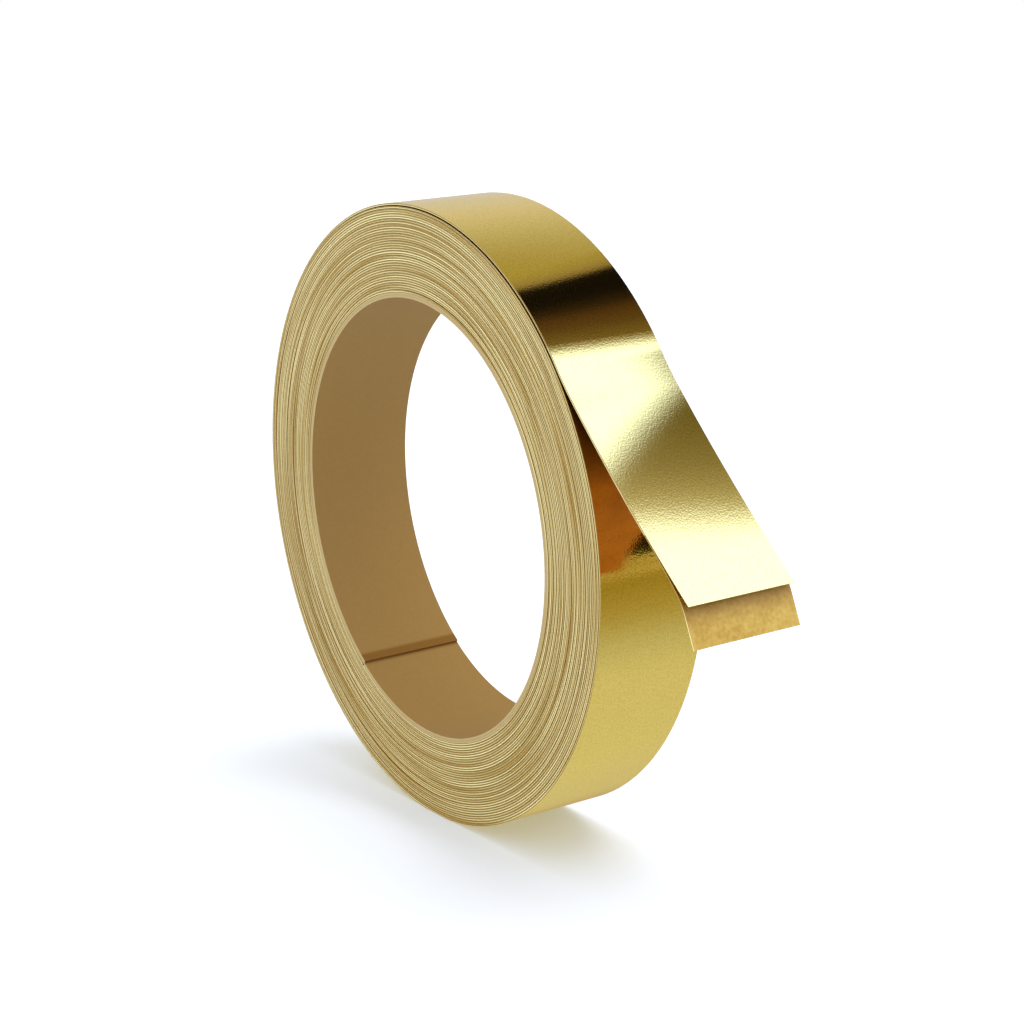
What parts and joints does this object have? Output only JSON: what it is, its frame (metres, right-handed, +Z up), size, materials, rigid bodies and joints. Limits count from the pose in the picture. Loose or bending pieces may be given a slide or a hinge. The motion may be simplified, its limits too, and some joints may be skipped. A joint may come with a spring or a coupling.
{
  "type": "foil tape roll",
  "caption": "Roll of self-adhesive gold-coloured metal foil tape on a thin kraft core, standing on its rim with the free end and its release liner peeled up.",
  "frame": {"origin": "on the ground, under the roll's axis, at the middle of the tape's width", "axes": "+Z up, Y along the roll's axis, the free end leaves towards +X"},
  "size_m": [0.1303, 0.02, 0.1076],
  "materials": {
    "brass_foil": "mirror rolled foil",
    "clear_adhesive": "thin clear coat",
    "kraft_liner": "matte kraft paper",
    "kraft_board": "matte kraft board"
  },
  "bodies": {
    "roll": {"core": "kraft_board", "foil_wound": "brass_foil", "adhesive_wound": "clear_adhesive", "liner_wound": "kraft_liner"},
    "tail_1": {"foil_tail_1": "brass_foil", "adhesive_tail_1": "clear_adhesive", "liner_tail_1": "kraft_liner"},
    "tail_2": {"foil_tail_2": "brass_foil", "adhesive_tail_2": "clear_adhesive", "liner_tail_2": "kraft_liner"},
    "tail_3": {"foil_tail_3": "brass_foil", "adhesive_tail_3": "clear_adhesive", "liner_tail_3": "kraft_liner"},
    "tail_4": {"foil_tail_4": "brass_foil", "adhesive_tail_4": "clear_adhesive", "liner_tail_4": "kraft_liner"},
    "tail_5": {"foil_tail_5": "brass_foil", "adhesive_tail_5": "clear_adhesive", "liner_tail_5": "kraft_liner"},
    "tail_6": {"foil_tail_6": "brass_foil", "adhesive_tail_6": "clear_adhesive", "liner_tail_6": "kraft_liner"},
    "foil_end": {"foil_end": "brass_foil", "adhesive_end": "clear_adhesive"},
    "liner_tab": {"liner_tab": "kraft_liner"}
  },
  "joints": [
    {"name": "tail_lift", "type": "hinge", "parent": "roll", "child": "tail_1", "pos_m": [0.04442, 0, 0.08456], "axis": [0, -1, 0], "range_deg": [-7.7, 7.7]},
    {"name": "tail_bend_2", "type": "hinge", "parent": "tail_1", "child": "tail_2", "pos_m": [0.04782, 0, 0.08028], "axis": [0, -1, 0], "range_deg": [-8.8, 8.8]},
    {"name": "tail_bend_3", "type": "hinge", "parent": "tail_2", "child": "tail_3", "pos_m": [0.05175, 0, 0.07601], "axis": [0, -1, 0], "range_deg": [-7.5, 7.5]},
    {"name": "tail_bend_4", "type": "hinge", "parent": "tail_3", "child": "tail_4", "pos_m": [0.05576, 0, 0.07181], "axis": [0, -1, 0], "range_deg": [-6.7, 6.7]},
    {"name": "tail_bend_5", "type": "hinge", "parent": "tail_4", "child": "tail_5", "pos_m": [0.05998, 0, 0.06754], "axis": [0, -1, 0], "range_deg": [-6.1, 6.1]},
    {"name": "tail_bend_6", "type": "hinge", "parent": "tail_5", "child": "tail_6", "pos_m": [0.06429, 0, 0.06336], "axis": [0, -1, 0], "range_deg": [-11.4, 11.4]},
    {"name": "foil_peel", "type": "hinge", "parent": "tail_6", "child": "foil_end", "pos_m": [0.06652, 0, 0.06135], "axis": [0, -1, 0], "range_deg": [0, 60]},
    {"name": "liner_curl", "type": "hinge", "parent": "tail_6", "child": "liner_tab", "pos_m": [0.07245, 0, 0.05512], "axis": [0, -1, 0], "range_deg": [-8.6, 8.6]}
  ],
  "couplings": [
    {"joint": "tail_bend_2", "follows": "tail_lift", "ratio": 1.1428},
    {"joint": "tail_bend_3", "follows": "tail_lift", "ratio": 0.974},
    {"joint": "tail_bend_4", "follows": "tail_lift", "ratio": 0.8701},
    {"joint": "tail_bend_5", "follows": "tail_lift", "ratio": 0.7922},
    {"joint": "tail_bend_6", "follows": "tail_lift", "ratio": 1.4805},
    {"joint": "liner_curl", "follows": "tail_lift", "ratio": -1.1168}
  ]
}
